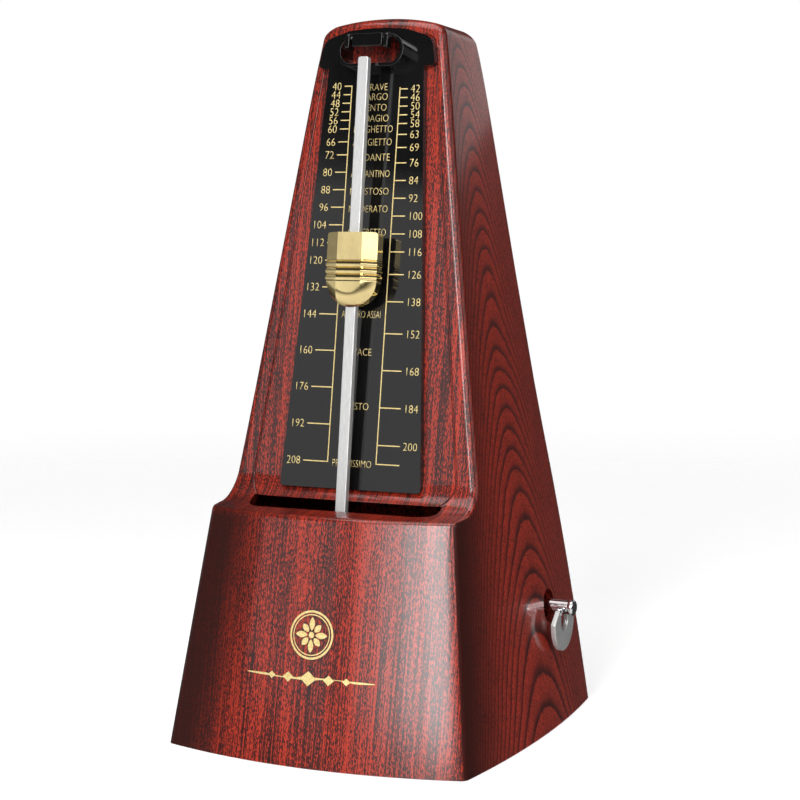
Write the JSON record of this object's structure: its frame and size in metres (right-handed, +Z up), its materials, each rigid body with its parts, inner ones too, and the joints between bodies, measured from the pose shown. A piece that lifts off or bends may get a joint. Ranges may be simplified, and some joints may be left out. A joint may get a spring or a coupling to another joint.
{
  "type": "metronome",
  "caption": "Wind-up metronome: bowed pyramid case in mahogany grain, black tempo scale, leaning pendulum rod with a gilt sliding weight, and a folding key at the side.",
  "frame": {"origin": "centre of the base plate's underside, which the rubber feet hold just above the surface it stands on", "axes": "+Z up, -Y towards the front with the scale and pendulum, +X towards the side with the winding key"},
  "size_m": [0.1069, 0.1146, 0.2169],
  "materials": {
    "mahogany": "gloss lacquer over red-brown mahogany grain, dark pores",
    "black_plastic": "satin-gloss black moulding with gilt printed scale",
    "rod_steel": "satin white metal",
    "polished_brass": "polished pale gilt",
    "wheel_brass": "plain cut brass",
    "frame_steel": "plain stamped steel",
    "spring_steel": "blued spring steel",
    "arbor_steel": "turned steel",
    "chrome": "mirror chrome",
    "cast_iron": "dull grey casting",
    "rubber": "matt black rubber"
  },
  "bodies": {
    "case": {"case_shell": "mahogany", "front_panel": "mahogany", "scale_plate": "black_plastic", "clip_pin": "arbor_steel", "base_plate": "black_plastic", "case_screw_1": "arbor_steel", "case_screw_2": "arbor_steel", "case_screw_3": "arbor_steel", "case_screw_4": "arbor_steel", "frame_screw_1": "arbor_steel", "frame_screw_2": "arbor_steel", "frame_screw_3": "arbor_steel", "frame_screw_4": "arbor_steel", "foot_1": "rubber", "foot_2": "rubber", "foot_3": "rubber", "foot_4": "rubber", "frame_plate_left": "frame_steel", "frame_plate_right": "frame_steel", "pillar_1": "arbor_steel", "pillar_2": "arbor_steel", "pillar_3": "arbor_steel", "pillar_4": "arbor_steel", "front_bridge": "frame_steel", "rear_bridge": "frame_steel", "mainspring": "spring_steel"},
    "great_wheel": {"great_wheel": "wheel_brass", "click": "arbor_steel", "click_screw": "arbor_steel", "click_spring": "spring_steel"},
    "winding": {"winding_arbor": "arbor_steel", "ratchet_wheel": "arbor_steel", "key_shaft": "chrome", "key_pin": "chrome"},
    "key_wing": {"key_wing": "chrome"},
    "centre": {"centre_arbor": "arbor_steel", "centre_pinion": "arbor_steel", "centre_wheel": "wheel_brass"},
    "escape": {"escape_arbor": "arbor_steel", "escape_pinion": "arbor_steel", "escape_wheel": "wheel_brass"},
    "pendulum": {"pendulum_rod": "rod_steel", "rod_hub": "wheel_brass", "hub_screw": "arbor_steel", "pendulum_arbor": "arbor_steel", "front_pallet": "arbor_steel", "rear_pallet": "arbor_steel", "counterweight": "cast_iron", "counterweight_screw": "arbor_steel"},
    "weight": {"sliding_weight": "polished_brass", "weight_spring": "spring_steel"},
    "clip": {"pendulum_clip": "black_plastic"}
  },
  "joints": [
    {"name": "pendulum_swing", "type": "hinge", "parent": "case", "child": "pendulum", "pos_m": [0, -0.03292, 0.048], "axis": [0, -0.9925, 0.1219], "range_deg": [-28, 28]},
    {"name": "weight_slide", "type": "slide", "parent": "pendulum", "child": "weight", "axis": [0, 0.1219, 0.9925], "range_m": [-0.069, 0.044]},
    {"name": "clip_flip", "type": "hinge", "parent": "case", "child": "clip", "pos_m": [0.0004, -0.01194, 0.21017], "axis": [-1, 0, 0], "range_deg": [0, 75]},
    {"name": "train_run", "type": "hinge", "parent": "case", "child": "great_wheel", "pos_m": [0, 0.0212, 0.0367], "axis": [1, 0, 0], "continuous": true},
    {"name": "centre_spin", "type": "hinge", "parent": "case", "child": "centre", "pos_m": [0, 0.0027, 0.02673], "axis": [1, 0, 0], "continuous": true},
    {"name": "escape_spin", "type": "hinge", "parent": "case", "child": "escape", "pos_m": [0, -0.0103, 0.03193], "axis": [1, 0, 0], "continuous": true},
    {"name": "key_wind", "type": "hinge", "parent": "great_wheel", "child": "winding", "pos_m": [0, 0.0212, 0.0367], "axis": [1, 0, 0], "continuous": true},
    {"name": "wing_fold", "type": "hinge", "parent": "winding", "child": "key_wing", "pos_m": [0.051, 0.0212, 0.0355], "axis": [0, -1, 0], "range_deg": [0, 90]}
  ],
  "couplings": [
    {"joint": "centre_spin", "follows": "train_run", "ratio": -6},
    {"joint": "escape_spin", "follows": "train_run", "ratio": 36}
  ]
}
